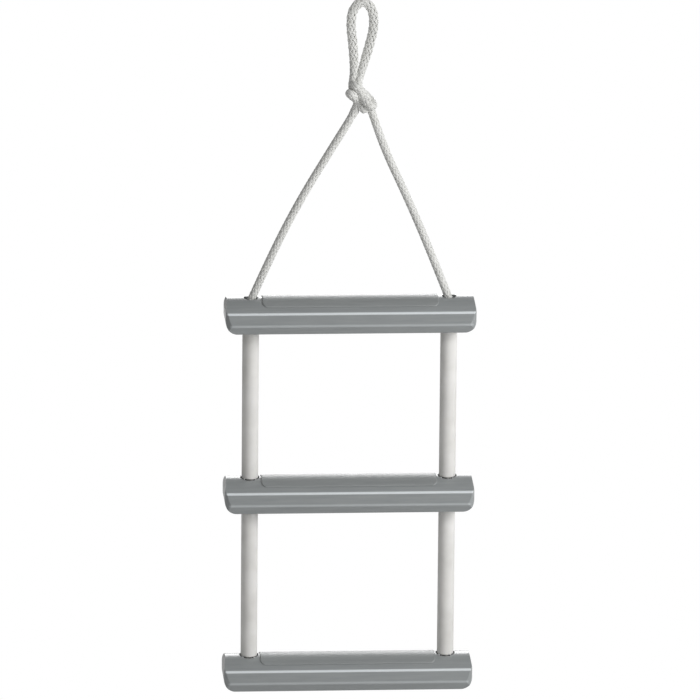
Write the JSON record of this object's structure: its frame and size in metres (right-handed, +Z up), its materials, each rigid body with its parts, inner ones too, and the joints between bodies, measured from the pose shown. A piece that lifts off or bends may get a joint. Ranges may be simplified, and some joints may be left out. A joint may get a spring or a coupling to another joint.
{
  "type": "rope ladder",
  "caption": "Hanging rope ladder: a knotted white rope with a hanging eye, grey moulded treads with non-slip pads, and white spacer tubes between them.",
  "frame": {"origin": "inside of the hanging eye's top, where a hook carries the ladder", "axes": "+Z up, +X to the right along the steps, +Y to the back"},
  "size_m": [0.321, 0.0684, 0.9089],
  "materials": {
    "rope": "braided white polypropylene rope",
    "step_plastic": "satin grey moulded plastic",
    "pad_plastic": "satin grey non-slip plastic",
    "tube_plastic": "white plastic tube",
    "washer_steel": "stainless steel"
  },
  "bodies": {
    "hanger": {"hanging_eye": "rope", "eye_knot": "rope", "left_rope_leg": "rope", "right_rope_leg": "rope"},
    "top_step": {"top_step": "step_plastic", "top_tread_pad": "pad_plastic", "top_step_rope": "rope"},
    "middle_step": {"middle_step": "step_plastic", "middle_tread_pad": "pad_plastic", "middle_step_rope": "rope"},
    "bottom_step": {"bottom_step": "step_plastic", "bottom_tread_pad": "pad_plastic", "bottom_step_rope": "rope", "left_stopper_knot": "rope", "left_stopper_washer": "washer_steel", "right_stopper_knot": "rope", "right_stopper_washer": "washer_steel"},
    "upper_bay_top": {"upper_bay_top_bends": "rope"},
    "upper_bay_foot": {"upper_bay_foot_bends": "rope"},
    "upper_left_tube": {"upper_left_spacer_tube": "tube_plastic", "upper_left_tube_rope": "rope"},
    "upper_right_tube": {"upper_right_spacer_tube": "tube_plastic", "upper_right_tube_rope": "rope"},
    "lower_bay_top": {"lower_bay_top_bends": "rope"},
    "lower_bay_foot": {"lower_bay_foot_bends": "rope"},
    "lower_left_tube": {"lower_left_spacer_tube": "tube_plastic", "lower_left_tube_rope": "rope"},
    "lower_right_tube": {"lower_right_spacer_tube": "tube_plastic", "lower_right_tube_rope": "rope"}
  },
  "joints": [
    {"name": "top_step_tip", "type": "hinge", "parent": "hanger", "child": "top_step", "pos_m": [-0.012, 0, -0.386], "axis": [1, 0, 0], "range_deg": [-30, 30]},
    {"name": "upper_bay_swing", "type": "hinge", "parent": "top_step", "child": "upper_bay_top", "pos_m": [-0.012, 0, -0.404], "axis": [1, 0, 0], "range_deg": [-10, 10]},
    {"name": "upper_bay_sway", "type": "hinge", "parent": "upper_bay_top", "child": "upper_left_tube", "pos_m": [-0.139, 0, -0.404], "axis": [0, 1, 0], "range_deg": [-10, 10]},
    {"name": "upper_right_tube_sway", "type": "hinge", "parent": "upper_bay_top", "child": "upper_right_tube", "pos_m": [0.115, 0, -0.404], "axis": [0, 1, 0], "range_deg": [-10, 10]},
    {"name": "upper_foot_level", "type": "hinge", "parent": "upper_left_tube", "child": "upper_bay_foot", "pos_m": [-0.139, 0, -0.624], "axis": [0, 1, 0], "range_deg": [-10, 10]},
    {"name": "middle_step_tip", "type": "hinge", "parent": "upper_bay_foot", "child": "middle_step", "pos_m": [-0.012, 0, -0.624], "axis": [1, 0, 0], "range_deg": [-10, 10]},
    {"name": "lower_bay_swing", "type": "hinge", "parent": "middle_step", "child": "lower_bay_top", "pos_m": [-0.012, 0, -0.642], "axis": [1, 0, 0], "range_deg": [-10, 10]},
    {"name": "lower_bay_sway", "type": "hinge", "parent": "lower_bay_top", "child": "lower_left_tube", "pos_m": [-0.139, 0, -0.642], "axis": [0, 1, 0], "range_deg": [-10, 10]},
    {"name": "lower_right_tube_sway", "type": "hinge", "parent": "lower_bay_top", "child": "lower_right_tube", "pos_m": [0.115, 0, -0.642], "axis": [0, 1, 0], "range_deg": [-10, 10]},
    {"name": "lower_foot_level", "type": "hinge", "parent": "lower_left_tube", "child": "lower_bay_foot", "pos_m": [-0.139, 0, -0.862], "axis": [0, 1, 0], "range_deg": [-10, 10]},
    {"name": "bottom_step_tip", "type": "hinge", "parent": "lower_bay_foot", "child": "bottom_step", "pos_m": [-0.012, 0, -0.862], "axis": [1, 0, 0], "range_deg": [-10, 10]}
  ],
  "couplings": [
    {"joint": "upper_right_tube_sway", "follows": "upper_bay_sway", "ratio": 1},
    {"joint": "upper_foot_level", "follows": "upper_bay_sway", "ratio": -1},
    {"joint": "lower_right_tube_sway", "follows": "lower_bay_sway", "ratio": 1},
    {"joint": "lower_foot_level", "follows": "lower_bay_sway", "ratio": -1}
  ]
}
